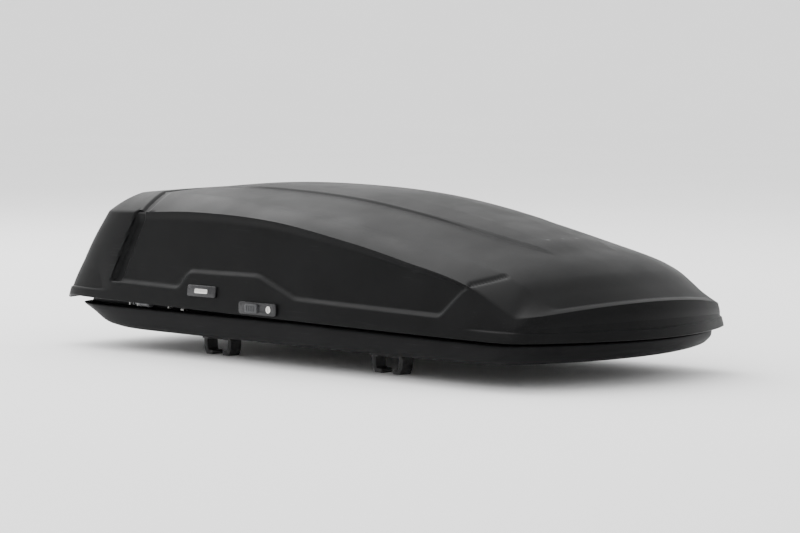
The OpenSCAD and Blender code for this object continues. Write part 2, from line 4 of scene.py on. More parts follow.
import bmesh
import bpy
import numpy as np
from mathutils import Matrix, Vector

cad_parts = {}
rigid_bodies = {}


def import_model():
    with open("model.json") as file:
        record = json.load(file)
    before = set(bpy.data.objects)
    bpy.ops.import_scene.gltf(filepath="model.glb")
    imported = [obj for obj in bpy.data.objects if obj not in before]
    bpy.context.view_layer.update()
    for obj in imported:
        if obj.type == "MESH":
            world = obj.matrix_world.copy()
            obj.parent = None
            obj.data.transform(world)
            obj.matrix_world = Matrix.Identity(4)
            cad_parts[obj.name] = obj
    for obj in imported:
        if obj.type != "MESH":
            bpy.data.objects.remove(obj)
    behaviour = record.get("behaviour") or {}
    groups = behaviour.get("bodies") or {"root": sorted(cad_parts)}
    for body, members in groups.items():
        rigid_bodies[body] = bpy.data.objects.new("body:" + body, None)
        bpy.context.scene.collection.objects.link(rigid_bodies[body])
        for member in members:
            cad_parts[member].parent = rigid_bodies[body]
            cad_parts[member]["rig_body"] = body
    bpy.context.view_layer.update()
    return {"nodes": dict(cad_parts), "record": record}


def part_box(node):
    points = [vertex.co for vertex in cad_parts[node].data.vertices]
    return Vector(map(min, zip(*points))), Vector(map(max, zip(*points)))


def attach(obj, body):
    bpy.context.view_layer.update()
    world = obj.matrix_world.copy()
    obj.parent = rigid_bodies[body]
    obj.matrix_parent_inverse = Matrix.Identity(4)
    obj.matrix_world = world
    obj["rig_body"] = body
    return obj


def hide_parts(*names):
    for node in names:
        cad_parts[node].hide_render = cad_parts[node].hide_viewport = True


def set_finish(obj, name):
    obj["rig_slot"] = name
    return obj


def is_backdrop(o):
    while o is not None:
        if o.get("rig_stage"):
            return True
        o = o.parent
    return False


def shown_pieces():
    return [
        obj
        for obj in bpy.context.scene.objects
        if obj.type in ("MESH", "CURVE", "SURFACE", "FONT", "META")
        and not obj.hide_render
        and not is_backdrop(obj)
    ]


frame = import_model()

MM = 0.001

# ---------------------------------------------------------------- sizes from the frame
lid_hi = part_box("lid_shell")[1]
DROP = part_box("base_shell")[0].z
HALF_L = lid_hi.x
HALF_W = lid_hi.y
STEP_H = 6 * MM
TOP_H = lid_hi.z - DROP - STEP_H + 0.8 * MM
LIP_TAIL = 88 * MM
LIP_NOSE = 62 * MM
WALL = 3.6 * MM
NOSE_BOW = 0.15
SIDE_BOW = 0.07
CORNER_N = 36
TAIL_N = 11
LEAN_NOSE = 12 * MM
LEAN_TAIL = 150 * MM
LEAN_SIDE = 36 * MM
CROWN_Y = HALF_W - 115 * MM
CORNER_U = 0.854
NOSE_RISE = 32 * MM
PANEL_SUNK = 10 * MM
PANEL_EDGE = 10 * MM
CHANNEL_DEPTH = 13 * MM
BEAD_HEIGHT = 22 * MM
BEAD_PROUD = 5 * MM
# How much lower the lip hangs across the tail.
TAIL_SKIRT = 13 * MM
# The columns of points stand closer about the side channel and the cross groove. The middles of
# the two stretches and their reach are shares of the half length.
CHANNEL_U = -0.68
GROOVE_U = 0.71
FINE_REACH = 0.07
FINE_MORE = 1.6

# Height lines of the lid: share of the half length, share of the top height.
SPINE = [(-0.80, 0.927), (-0.587, 0.985), (-0.247, 1), (0.075, 0.967), (0.382, 0.861),
         (0.675, 0.706), (0.80, 0.625), (0.874, 0.549), (0.926, 0.461), (0.979, 0.367)]
SHOULDER = [(-0.842, 0.81), (-0.667, 0.817), (-0.378, 0.842), (-0.05, 0.812),
            (0.259, 0.708), (0.457, 0.617), (0.695, 0.486), (0.854, 0.30)]
LEDGE = [(-0.95, 0.345), (-0.695, 0.336), (-0.412, 0.323), (-0.370, 0.438),
         (-0.078, 0.443), (0.079, 0.313), (0.626, 0.282), (0.695, 0.466)]
CAMBER = [(-0.64, 12), (-0.3, 25), (0.02, 38), (0.33, 36), (0.62, 29), (0.9, 18)]
# Outlines of the crown, from its edge to its middle: nose, tail and side insets.
CROWN_RINGS = [(34, 203, 0), (85, 240, 70), (115, 300, 135), (127, 312, 147), (330, 520, 235)]


# ---------------------------------------------------------------- curves
def ease(t):
    t = np.clip(t, 0, 1)
    return t * t * (3 - 2 * t)


def mix(a, b, t):
    return a + (b - a) * t


def curve(x, points):
    """Smooth curve through a few points, flat in slope beyond its ends."""
    xs, ys = np.array(points, float).T
    lean = np.empty(len(xs))
    lean[1:-1] = (ys[2:] - ys[:-2]) / (xs[2:] - xs[:-2])
    lean[0] = (ys[1] - ys[0]) / (xs[1] - xs[0])
    lean[-1] = (ys[-1] - ys[-2]) / (xs[-1] - xs[-2])
    i = np.clip(np.searchsorted(xs, x, side="right") - 1, 0, len(xs) - 2)
    h = xs[i + 1] - xs[i]
    t = np.clip((x - xs[i]) / h, 0, 1)
    return ((2 * t ** 3 - 3 * t ** 2 + 1) * ys[i] + (t ** 3 - 2 * t ** 2 + t) * h * lean[i]
            + (3 * t ** 2 - 2 * t ** 3) * ys[i + 1] + (t ** 3 - t ** 2) * h * lean[i + 1])


def polyline(x, points, rounding):
    """Straight runs between points, with their corners rounded."""
    xs, ys = np.array(points, float).T
    offsets = np.linspace(-1, 1, 9) * rounding
    return sum(np.interp(x + o, xs, ys) for o in offsets) / len(offsets)


def nearness(p, q, bow):
    """One over the distance to the line y = 1 - bow * x ** 2, along the direction x = p, y = q."""
    return (np.abs(q) + np.sqrt(q * q + 4 * bow * p * p)) / 2


def outline(front, rear, side, angles):
    """Outline in plan: a squarish tail, drawn-in sides and an arc across the nose."""
    c, s = np.cos(angles), np.sin(angles)
    across = np.abs(s)
    bow = NOSE_BOW * np.minimum(side / HALF_W, 1) ** 2
    along_side = nearness(c, across, SIDE_BOW) ** CORNER_N
    over_nose = nearness(across, c, bow) ** CORNER_N
    nose = (along_side + over_nose) ** (-1 / CORNER_N)
    tail = (np.abs(c) ** TAIL_N + across ** TAIL_N) ** (-1 / TAIL_N)
    r = np.where(c > 0, nose, tail)
    return np.where(c > 0, front, rear) * c * r, side * s * r


def even_angles(count):
    """Angles that space points round the lip, closer at the channel and the groove."""
    fine = np.linspace(0, math.pi, 6001)
    x, y = outline(HALF_L, HALF_L, HALF_W, fine)
    away = (x[1:] / HALF_L - np.array([[CHANNEL_U], [GROOVE_U]])) / FINE_REACH
    on_side = np.abs(y[1:]) > 0.6 * HALF_W
    closer = 1 + FINE_MORE * np.exp(-away ** 2).sum(0) * on_side
    run = np.concatenate([[0], np.cumsum(np.hypot(np.diff(x), np.diff(y)) * closer)])
    half = np.interp(np.linspace(0, run[-1], count // 2 + 1), run, fine)
    return np.concatenate([half, 2 * math.pi - half[-2:0:-1]])


# ---------------------------------------------------------------- the lid's shape
def lip_z(x):
    return mix(LIP_TAIL, LIP_NOSE, (x / HALF_L + 1) / 2)


def setback(y):
    return HALF_L * NOSE_BOW * (y / HALF_W) ** 2


def crown_z(x, y):
    camber = curve(x / HALF_L, CAMBER) * MM
    return TOP_H * curve((x + setback(y)) / HALF_L, SPINE) - camber * (y / CROWN_Y) ** 2


def shoulder_z(x, y):
    ratio = CORNER_U * HALF_L / (HALF_L - LEAN_NOSE)
    corner_y = (HALF_W - LEAN_SIDE) * (1 - SIDE_BOW * ratio ** 2)
    nose = TOP_H * SHOULDER[-1][1] + NOSE_RISE * (1 - np.minimum(np.abs(y) / corner_y, 1) ** 2)
    return np.where(x < CORNER_U * HALF_L, TOP_H * curve(x / HALF_L, SHOULDER), nose)


def panel_sink(x, z):
    """How far the side panel lies below the skin round it, with its channel at the tail."""
    u = x / HALF_L
    ledge = TOP_H * polyline(u, LEDGE, 0.012)
    fall = (TOP_H * polyline(u + 0.004, LEDGE, 0.012) - ledge) / (0.004 * HALF_L)
    above = (z - ledge) / np.sqrt(1 + fall ** 2)
    tail_edge = -0.722 * HALF_L + (z - 0.347 * TOP_H) * 0.41
    behind = x - tail_edge
    inside = np.clip(above / PANEL_EDGE, 0, 1) * ease(behind / PANEL_EDGE)
    inside = inside * (1 - ease((u - 0.685) / 0.03))
    channel = ease(behind / (9 * MM)) * (1 - ease((behind - 32 * MM) / (12 * MM)))
    return PANEL_SUNK * inside, CHANNEL_DEPTH * channel * ease(above / PANEL_EDGE)


def lid_rows(angles, low_steps, chamfer_steps, crown_steps, inset, detail):
    """Rows of points from the lip to the middle of the crown."""
    rows = []
    x0, y0 = outline(HALF_L, HALF_L, HALF_W, angles)
    for f in np.linspace(0, 1, low_steps):
        x, y = outline(HALF_L - LEAN_NOSE * f - inset, HALF_L - LEAN_TAIL * f ** 1.15 - inset,
                       HALF_W - LEAN_SIDE * f ** 1.3 - inset, angles)
        z = mix(lip_z(x), shoulder_z(x, y), f) - inset * ease((f - 0.5) / 0.5)
        sink, channel = panel_sink(x, z)
        sink = sink * (1 - ease((f - 0.9) / 0.1)) + channel * detail
        sides = ease((np.abs(y) / HALF_W - 0.5) / 0.3)
        over_bead = ease((z - lip_z(x) - BEAD_HEIGHT) / (4 * MM)) * (1 - ease(f / 0.8)) * detail
        ends = ease((np.abs(x) / HALF_L - 0.70) / 0.1)
        shrink = 1 - BEAD_PROUD * over_bead * ends / HALF_W
        skirt = TAIL_SKIRT * ease((-x / HALF_L - 0.93) / 0.05) * (1 - ease(f / 0.25))
        rows.append((x * shrink, (y - np.sign(y) * sink * sides) * shrink, z - skirt))
    xs, ys, zs = rows[-1][0], outline(1, 1, HALF_W - LEAN_SIDE - inset, angles)[1], rows[-1][2]
    front = HALF_L - CROWN_RINGS[0][0] * MM
    rear = HALF_L - CROWN_RINGS[0][1] * MM
    xc, yc = outline(front - inset, rear - inset, CROWN_Y - inset, angles)
    zc = crown_z(xc, yc) - inset
    for w in np.linspace(0, 1, chamfer_steps + 1)[1:]:
        bulge = 4 * w * (1 - w) * mix(5, 1.5, ease((x / HALF_L - 0.3) / 0.4)) * MM
        x, y, z = mix(xs, xc, w), mix(ys, yc, w), mix(zs, zc, w)
        groove = 6 * MM * cross_groove(x, w) * detail
        tail = 7 * MM * tail_groove(x) * detail
        rows.append((x, y, z + bulge - (groove + tail) * ease((np.abs(y) - 0.12) / 0.08)))
    for s in np.linspace(0, 4, crown_steps + 1)[1:]:
        k = min(int(s), 3)
        a, b = CROWN_RINGS[k], CROWN_RINGS[k + 1]
        x, y = outline(HALF_L - mix(a[0], b[0], s - k) * MM - inset,
                       HALF_L - mix(a[1], b[1], s - k) * MM - inset,
                       CROWN_Y - mix(a[2] * MM, b[2] * MM, s - k) - inset, angles)
        tail = 7 * MM * tail_groove(x) * detail * ease((np.abs(y) - 0.14) / 0.12)
        rows.append((x, y, crown_z(x, y) - inset + raised(x, y) * detail - tail))
    return [np.stack([x, y, z + DROP], 1) for x, y, z in rows]


def cross_groove(x, w):
    """Fine groove that carries the panel's front edge up over the shoulder."""
    middle = 0.695 * HALF_L + 58 * MM * w
    return np.exp(-((x - middle) / (6 * MM)) ** 2)


def tail_groove(x):
    """The side channel's run over the top at the tail."""
    start = -0.62 * HALF_L
    return ease((x - start) / (12 * MM)) * (1 - ease((x - start - 26 * MM) / (16 * MM)))


def raised(x, y):
    """Step up to the lid's middle field, which narrows towards the nose."""
    u = x / HALF_L
    share = np.clip(np.abs(x) / (HALF_L - 115 * MM), 0, 0.999)
    edge = (CROWN_Y - 135 * MM) * (1 - share ** 2.6) ** (1 / 2.6)
    along = ease((u + 0.60) / 0.16) * (1 - ease((u - 0.66) / 0.10))
    return STEP_H * ease((edge - np.abs(y)) / (9 * MM)) * along


def skin_piece(name, loops):
    """One closed skin through loops of equal length, the first and last capped across the middle."""
    count = len(loops[0])
    faces = []
    for k in range(len(loops) - 1):
        a, b = k * count, (k + 1) * count
        for i in range(count):
            j = (i + 1) % count
            faces.append((a + i, a + j, b + j, b + i))
    for start, flip in ((0, True), ((len(loops) - 1) * count, False)):
        for i in range(count // 2):
            ring = list(dict.fromkeys([i, i + 1, count - i - 1, (count - i) % count]))
            face = [start + v for v in ring]
            faces.append(tuple(face[::-1] if flip else face))
    mesh = bpy.data.meshes.new(name)
    mesh.from_pydata(np.concatenate(loops).tolist(), [], faces)
    mend = bmesh.new()
    mend.from_mesh(mesh)
    bmesh.ops.recalc_face_normals(mend, faces=mend.faces)
    mend.to_mesh(mesh)
    mend.free()
    mesh.shade_smooth()
    return placed(name, mesh)


def placed(name, mesh):
    piece = bpy.data.objects.new(name, mesh)
    bpy.context.scene.collection.objects.link(piece)
    return piece


def lid_skin():
    angles = even_angles(640)
    outer = lid_rows(angles, 68, 12, 72, 0, 1)
    lip = outer[0]
    x, y = outline(HALF_L - WALL / 2, HALF_L - WALL / 2, HALF_W - WALL / 2, angles)
    edge = np.stack([x, y, lip[:, 2] - 1.2 * MM], 1)
    inner = lid_rows(angles, 18, 4, 12, WALL, 0)
    piece = skin_piece("lid_skin", outer[::-1] + [edge] + inner)
    for side in (-1, 1):
        cut_away(piece, lock_hole_cutter(side))
    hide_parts("lid_shell")
    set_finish(piece, "lid_abs")
    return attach(piece, "lid")


# ---------------------------------------------------------------- the base's shape
# Rows of the tray from its floor up: nose, tail and side insets, lift, share of the lip's height.
TRAY_ROWS = [(170, 260, 80, 0, 0), (112, 205, 48, 3, 0), (68, 150, 25, 16, 0),
             (42, 90, 20, 0, 0.55), (38, 40, 20, -9, 1), (58, 60, 46, -8, 1), (58, 60, 46, 12, 1)]
FLANGE_Z = 65.5 * MM
FLOOR_HALF_W = 196 * MM
SLOT_L = 263 * MM
SLOT_W = 24.8 * MM
SLOT_CORNER = 12.3 * MM


def tray_row(row, angles, inset, lift):
    x, y = outline(HALF_L - row[0] * MM - inset, HALF_L - row[1] * MM - inset,
                   HALF_W - row[2] * MM - inset, angles)
    z = row[3] * MM + row[4] * lip_z(x)
    if row[3] <= 0:
        z = np.minimum(z, FLANGE_Z)
    return np.stack([x, y, z + DROP + lift], 1)


def rounded_rows(rows, per_gap, rounding):
    """Rows between the given ones, with the corners between them rounded over."""
    places = np.linspace(0, len(rows) - 1, (len(rows) - 1) * per_gap + 1)
    offsets = np.linspace(-1, 1, 7) * rounding
    made = []
    for place in places:
        reach = min(1.0, place / max(rounding, 1e-6), (len(rows) - 1 - place) / max(rounding, 1e-6))
        near = []
        for o in offsets * reach:
            k = min(int(place + o), len(rows) - 2)
            near.append(mix(rows[k], rows[k + 1], place + o - k))
        made.append(sum(near) / len(near))
    return made


def floor_ribs(x, y):
    """Long stiffening ribs pressed into the floor between the clamps."""
    wave = 0.5 - 0.5 * np.cos(np.clip(np.abs(y) / FLOOR_HALF_W, 0, 1) * 2 * math.pi * 3.5)
    ends = ease((x + 0.62) / 0.05) * (1 - ease((x - 0.55) / 0.05))
    side = 1 - ease((np.abs(y) - 0.17) / 0.02)
    return 3.2 * MM * wave * ends * side


def floor_rings(angles, inset, lift, steps):
    """Rings that run from the floor's edge in to its middle line."""
    rows = []
    for s in np.linspace(0, 1, steps)[1:]:
        side = HALF_W - 80 * MM - inset
        x, y = outline(HALF_L - 170 * MM - inset - 0.28 * s, HALF_L - 260 * MM - inset - 0.28 * s,
                       mix(side, 12 * MM, s), angles)
        rows.append(np.stack([x, y, floor_ribs(x, y) + DROP + lift], 1))
    return rows


def base_skin():
    angles = even_angles(560)
    outer = rounded_rows([tray_row(r, angles, 0, 0) for r in TRAY_ROWS], 7, 0.30)
    walls = [tray_row(r, angles, WALL, 0) for r in TRAY_ROWS]
    walls[0][:, 2] += WALL
    walls[1][:, 2] += WALL * 0.7
    inner = rounded_rows(walls[::-1], 4, 0.30)
    under = floor_rings(angles, 0, 0, 44)
    floor = floor_rings(angles, WALL, WALL, 44)
    loops = under[::-1] + outer + inner + floor
    piece = skin_piece("base_skin", loops)
    for clamp in ("front_right", "front_left", "rear_right", "rear_left"):
        cut_away(piece, slot_cutter(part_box("clamp_" + clamp + "_saddle")))
    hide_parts("base_shell")
    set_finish(piece, "base_abs")
    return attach(piece, "base")


# ---------------------------------------------------------------- working on meshes
def prism(name, points, axis, low, high):
    """Solid whose outline lies across an axis: 'y' for points in x and z, 'z' for points in x and y."""
    shape = bmesh.new()
    rings = []
    for level in (low, high):
        spots = [(p, level, q) if axis == "y" else (p, q, level) for p, q in points]
        rings.append([shape.verts.new(spot) for spot in spots])
    shape.faces.new(rings[0])
    shape.faces.new(rings[1][::-1])
    for i in range(len(points)):
        j = (i + 1) % len(points)
        shape.faces.new((rings[0][i], rings[1][i], rings[1][j], rings[0][j]))
    bmesh.ops.recalc_face_normals(shape, faces=shape.faces)
    mesh = bpy.data.meshes.new(name)
    shape.to_mesh(mesh)
    shape.free()
    return placed(name, mesh)


def soft_outline(x, y, length, width, radius, steps=8):
    """Rectangle with rounded corners, round a centre."""
    points = []
    for k, (sx, sy) in enumerate(((1, 1), (-1, 1), (-1, -1), (1, -1))):
        for t in np.linspace(k * math.pi / 2, (k + 1) * math.pi / 2, steps + 1):
            points.append((x + sx * (length / 2 - radius) + radius * math.cos(t),
                           y + sy * (width / 2 - radius) + radius * math.sin(t)))
    return points


def slot_cutter(saddle_box):
    """Cutter for the floor slot that a clamp slides along, round its saddle's middle."""
    middle = (saddle_box[0] + saddle_box[1]) / 2
    points = soft_outline(middle.x, middle.y, SLOT_L, SLOT_W, SLOT_CORNER, 10)
    return prism("slot_cutter", points, "z", DROP - 20 * MM, DROP + 30 * MM)


def lock_hole_cutter(side):
    lo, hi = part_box("lock_plate_right")
    points = soft_outline((lo.x + hi.x) / 2, (lo.z + hi.z) / 2, hi.x - lo.x - 17 * MM,
                          hi.z - lo.z - 7 * MM, 5.4 * MM)
    return prism("lock_cutter", points, "y", side * HALF_W - 30 * MM, side * HALF_W + 30 * MM)


def cut_away(piece, cutter):
    cut = piece.modifiers.new("cut", "BOOLEAN")
    cut.operation = "DIFFERENCE"
    cut.solver = "EXACT"
    cut.object = cutter
    done = bpy.data.meshes.new_from_object(piece.evaluated_get(bpy.context.evaluated_depsgraph_get()))
    piece.modifiers.clear()
    piece.data = done
    bpy.data.objects.remove(cutter)
    done.set_sharp_from_angle(angle=math.radians(48))


SLOT_OF = {s["node"]: s["material_slot"] for s in frame["record"]["subparts"]}


def softened(node, width, segments=2):
    """The CAD part with its hard edges rounded over, in its place."""
    source = frame["nodes"][node]
    shape = bmesh.new()
    shape.from_mesh(source.data)
    bmesh.ops.remove_doubles(shape, verts=shape.verts, dist=0.01 * MM)
    bmesh.ops.dissolve_limit(shape, angle_limit=math.radians(1.5), verts=shape.verts,
                             edges=shape.edges)
    hard = [e for e in shape.edges
            if len(e.link_faces) == 2 and e.calc_face_angle() > math.radians(30)]
    bmesh.ops.bevel(shape, geom=hard, offset=width, segments=segments, profile=0.6,
                    affect="EDGES", clamp_overlap=True)
    mesh = bpy.data.meshes.new(node + "_softened")
    shape.to_mesh(mesh)
    shape.free()
    mesh.shade_smooth()
    mesh.set_sharp_from_angle(angle=math.radians(38))
    piece = placed(node + "_softened", mesh)
    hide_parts(node)
    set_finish(piece, SLOT_OF[node])
    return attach(piece, source["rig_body"])


# Rounding of the edges of each kind of part, in millimetres.
EDGES = {"housing": 2.2, "saddle": 1.0, "pad": 0.4, "knob": 1.3, "spindle": 0.5, "jaw_front": 1.2,
         "jaw_rear": 1.2, "rail": 0.6, "rail_rivets": 0.3, "strikers": 0.6, "brackets": 0.8,
         "barrels": 0.8, "beam": 0.6, "braces": 1.5, "claws": 0.8, "lugs": 0.8, "plate": 1.0,
         "badge": 1.4, "bar": 0.8, "handle": 0.8, "cylinder": 0.5, "arms": 1.2}


def edge_of(node):
    fits = [k for k in EDGES if k in node]
    return EDGES[max(fits, key=len)] * MM


def small_parts():
    for node in SLOT_OF:
        if node not in ("lid_shell", "base_shell"):
            softened(node, edge_of(node))


# ---------------------------------------------------------------- pieces the CAD model leaves out
def tube_along(name, path, section):
    """Section swept along a closed path that lies nearly level, its rows across the path."""
    path = np.array(path, float)
    count = len(path)
    ahead = np.roll(path, -1, 0) - np.roll(path, 1, 0)
    ahead[:, 2] = 0
    ahead /= np.linalg.norm(ahead, axis=1)[:, None]
    across = np.stack([ahead[:, 1], -ahead[:, 0], np.zeros(count)], 1)
    rows = [path + across * a + np.array([0, 0, 1]) * b for a, b in section]
    faces = []
    for k in range(len(rows)):
        a, b = k * count, ((k + 1) % len(rows)) * count
        for i in range(count):
            j = (i + 1) % count
            faces.append((a + i, a + j, b + j, b + i))
    mesh = bpy.data.meshes.new(name)
    mesh.from_pydata(np.concatenate(rows).tolist(), [], faces)
    shape = bmesh.new()
    shape.from_mesh(mesh)
    bmesh.ops.recalc_face_normals(shape, faces=shape.faces)
    shape.to_mesh(mesh)
    shape.free()
    mesh.shade_smooth()
    return placed(name, mesh)


def rim_seal():
    """Rubber seal pushed over the rim of the tray, with a bulb on top."""
    rim = tray_row(TRAY_ROWS[6], even_angles(420), WALL / 2, 0)
    section = [(3.2 * MM, -8 * MM), (3.4 * MM, -1 * MM)]
    for t in np.linspace(-0.35, math.pi + 0.35, 9):
        section.append((3.0 * MM * math.cos(t), 1.2 * MM + 3.0 * MM * math.sin(t)))
    section += [(-3.4 * MM, -1 * MM), (-3.2 * MM, -8 * MM), (-2.2 * MM, -8 * MM),
                (-2.2 * MM, 0), (2.2 * MM, 0), (2.2 * MM, -8 * MM)]
    piece = tube_along("rim_seal", rim, section)
    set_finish(piece, "pad_rubber")
    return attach(piece, "base")


def screw_head(shape, x, y, z, radius, up):
    """Domed head with a cross recess, its axis along z."""
    rings = []
    for r, h in ((1.0, 0.0), (1.0, 0.25), (0.86, 0.45), (0.55, 0.58)):
        rings.append([shape.verts.new((x + radius * r * math.cos(a), y + radius * r * math.sin(a),
                                       z + up * radius * h))
                      for a in np.linspace(0, 2 * math.pi, 24, endpoint=False)])
    for lower, upper in zip(rings, rings[1:]):
        for i in range(24):
            j = (i + 1) % 24
            shape.faces.new((lower[i], lower[j], upper[j], upper[i]))
    cross = []
    for i, a in enumerate(np.linspace(0, 2 * math.pi, 24, endpoint=False)):
        reach = radius * (0.42 if i % 6 in (0, 5, 1) else 0.13)
        cross.append(shape.verts.new((x + reach * math.cos(a), y + reach * math.sin(a),
                                      z + up * radius * 0.58)))
    pit = [shape.verts.new((v.co.x * 0.3 + x * 0.7, v.co.y * 0.3 + y * 0.7, z + up * radius * 0.2))
           for v in cross]
    for i in range(24):
        j = (i + 1) % 24
        shape.faces.new((rings[-1][i], rings[-1][j], cross[j], cross[i]))
        shape.faces.new((cross[i], cross[j], pit[j], pit[i]))
    shape.faces.new(pit)
    shape.faces.new(rings[0][::-1])


def beam_screws():
    """Screws that hold the lid's two beams up to its wall."""
    for side, name in ((-1, "right"), (1, "left")):
        lo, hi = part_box("lid_beam_" + name)
        shape = bmesh.new()
        for x in np.linspace(lo.x + 25 * MM, hi.x - 25 * MM, 8):
            screw_head(shape, x, (lo.y + hi.y) / 2, lo.z - 0.1 * MM, 4.2 * MM, -1)
        bmesh.ops.recalc_face_normals(shape, faces=shape.faces)
        mesh = bpy.data.meshes.new("beam_screws_" + name)
        shape.to_mesh(mesh)
        shape.free()
        mesh.shade_smooth()
        mesh.set_sharp_from_angle(angle=math.radians(35))
        piece = placed("beam_screws_" + name, mesh)
        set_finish(piece, "zinc_steel")
        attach(piece, "lid")


def badge_bars():
    """Plain pale bar moulded on each blank badge plate."""
    for name in ("right", "left"):
        plate = frame["nodes"]["badge_" + name].data
        face = max(plate.polygons, key=lambda f: f.area)
        outward = face.normal if face.normal.y * face.center.y > 0 else -face.normal
        lo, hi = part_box("badge_" + name)
        middle = (lo + hi) / 2
        along = Vector((1, 0, 0))
        up = outward.cross(along).normalized()
        up = up if up.z > 0 else -up
        rings = []
        shape = bmesh.new()
        for shrink, lift in ((0, 1.5), (0, 3.1), (0.4, 3.6), (1.2, 3.8)):
            outline_points = soft_outline(0, 0, (52 - shrink) * MM, (12 - shrink) * MM, 3 * MM, 5)
            rings.append([shape.verts.new(middle + along * p + up * q + outward * lift * MM)
                          for p, q in outline_points])
        for lower, upper in zip(rings, rings[1:]):
            for i in range(len(lower)):
                j = (i + 1) % len(lower)
                shape.faces.new((lower[i], lower[j], upper[j], upper[i]))
        shape.faces.new(rings[0][::-1])
        shape.faces.new(rings[-1])
        bmesh.ops.recalc_face_normals(shape, faces=shape.faces)
        mesh = bpy.data.meshes.new("badge_bar_" + name)
        shape.to_mesh(mesh)
        shape.free()
        mesh.shade_smooth()
        mesh.set_sharp_from_angle(angle=math.radians(35))
        piece = placed("badge_bar_" + name, mesh)
        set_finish(piece, "key_metal")
        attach(piece, "lid")


# ---------------------------------------------------------------- finishes
def node_in(tree, kind, values=None, **settings):
    """One node; values go on its sockets by name or number, or are joined if they are sockets."""
    made = tree.nodes.new(kind)
    for key, value in settings.items():
        setattr(made, key, value)
    for key, value in (values or {}).items():
        if isinstance(value, bpy.types.NodeSocket):
            tree.links.new(value, made.inputs[key])
        else:
            made.inputs[key].default_value = value
    return made


def sums(tree, kind, a, b=0.0, c=0.0, clamp=False):
    return node_in(tree, "ShaderNodeMath", {0: a, 1: b, 2: c}, operation=kind,
                   use_clamp=clamp).outputs[0]


def ramp(tree, value, low, high, to_low=0.0, to_high=1.0):
    return node_in(tree, "ShaderNodeMapRange", {"Value": value, "From Min": low, "From Max": high,
                                                "To Min": to_low, "To Max": to_high}).outputs[0]


def two_colours(tree, share, a, b):
    return node_in(tree, "ShaderNodeMix", {0: share, 6: a, 7: b}, data_type="RGBA").outputs[2]


def effect(name, inputs, outputs):
    """Empty node group with named value sockets, ready to be filled."""
    group = bpy.data.node_groups.new(name, "ShaderNodeTree")
    for label, start in inputs:
        group.interface.new_socket(label, in_out="INPUT",
                                   socket_type="NodeSocketFloat").default_value = start
    for label in outputs:
        group.interface.new_socket(label, in_out="OUTPUT", socket_type="NodeSocketFloat")
    return group, group.nodes.new("NodeGroupInput").outputs, group.nodes.new("NodeGroupOutput").inputs


def moulded_grain():
    """Fine pebbled texture of a moulded or thermoformed surface."""
    group, given, out = effect("moulded grain", [("Pebble", 700), ("Drift", 9)],
                               ["Height", "Speckle", "Cloud"])
    place = node_in(group, "ShaderNodeTexCoord").outputs["Object"]
    pebble = node_in(group, "ShaderNodeTexVoronoi", {"Vector": place, "Scale": given["Pebble"],
                                                     "Randomness": 1.0}).outputs["Distance"]
    fine = node_in(group, "ShaderNodeTexNoise", {"Vector": place, "Detail": 3.0, "Roughness": 0.6,
                                                 "Scale": given["Pebble"]}).outputs["Fac"]
    cloud = node_in(group, "ShaderNodeTexNoise", {"Vector": place, "Detail": 4.0, "Roughness": 0.55,
                                                  "Scale": given["Drift"]}).outputs["Fac"]
    group.links.new(sums(group, "MULTIPLY_ADD", pebble, -0.6, fine), out["Height"])
    group.links.new(ramp(group, fine, 0.56, 0.72), out["Speckle"])
    group.links.new(ramp(group, cloud, 0.3, 0.7), out["Cloud"])
    return group


def rubbed_edges():
    """Edges that handling has polished or worn back."""
    group, given, out = effect("rubbed edges", [("Reach", 0.06), ("Break up", 60)], ["Mask"])
    point = node_in(group, "ShaderNodeNewGeometry").outputs["Pointiness"]
    place = node_in(group, "ShaderNodeTexCoord").outputs["Object"]
    noise = node_in(group, "ShaderNodeTexNoise", {"Vector": place, "Detail": 5.0,
                                                  "Scale": given["Break up"]}).outputs["Fac"]
    edge = ramp(group, point, 0.52, sums(group, "ADD", 0.52, given["Reach"]))
    group.links.new(sums(group, "MULTIPLY", edge, ramp(group, noise, 0.38, 0.62), clamp=True),
                    out["Mask"])
    return group


def fine_scratches():
    """Hair scratches that run along the part, and broader scuffs."""
    group, given, out = effect("fine scratches", [("Spread", 1.0), ("Along", 5), ("Across", 380)],
                               ["Scratch", "Scuff"])
    place = node_in(group, "ShaderNodeTexCoord").outputs["Object"]
    stretch = node_in(group, "ShaderNodeCombineXYZ", {0: given["Along"], 1: given["Across"],
                                                      2: given["Across"]}).outputs[0]
    long_way = node_in(group, "ShaderNodeVectorMath", {0: place, 1: stretch},
                       operation="MULTIPLY").outputs[0]
    lines = node_in(group, "ShaderNodeTexNoise", {"Vector": long_way, "Scale": 1.0, "Detail": 2.0,
                                                  "Roughness": 0.5}).outputs["Fac"]
    where = node_in(group, "ShaderNodeTexNoise", {"Vector": place, "Scale": 7.0,
                                                  "Detail": 3.0}).outputs["Fac"]
    spot = ramp(group, where, 0.5, 0.66)
    group.links.new(sums(group, "MULTIPLY", ramp(group, lines, 0.63, 0.67),
                         sums(group, "MULTIPLY", spot, given["Spread"])), out["Scratch"])
    group.links.new(sums(group, "MULTIPLY", spot, given["Spread"]), out["Scuff"])
    return group


def settled_dust():
    """Dust that lies on what faces up."""
    group, given, out = effect("settled dust", [("Amount", 0.3)], ["Mask"])
    coords = node_in(group, "ShaderNodeTexCoord").outputs
    up = node_in(group, "ShaderNodeSeparateXYZ", {0: coords["Normal"]}).outputs["Z"]
    noise = node_in(group, "ShaderNodeTexNoise", {"Vector": coords["Object"], "Scale": 22.0,
                                                  "Detail": 6.0, "Roughness": 0.7}).outputs["Fac"]
    lying = sums(group, "MULTIPLY", ramp(group, up, 0.35, 1.0), ramp(group, noise, 0.35, 0.75))
    group.links.new(sums(group, "MULTIPLY", lying, given["Amount"], clamp=True), out["Mask"])
    return group


EFFECTS = {}


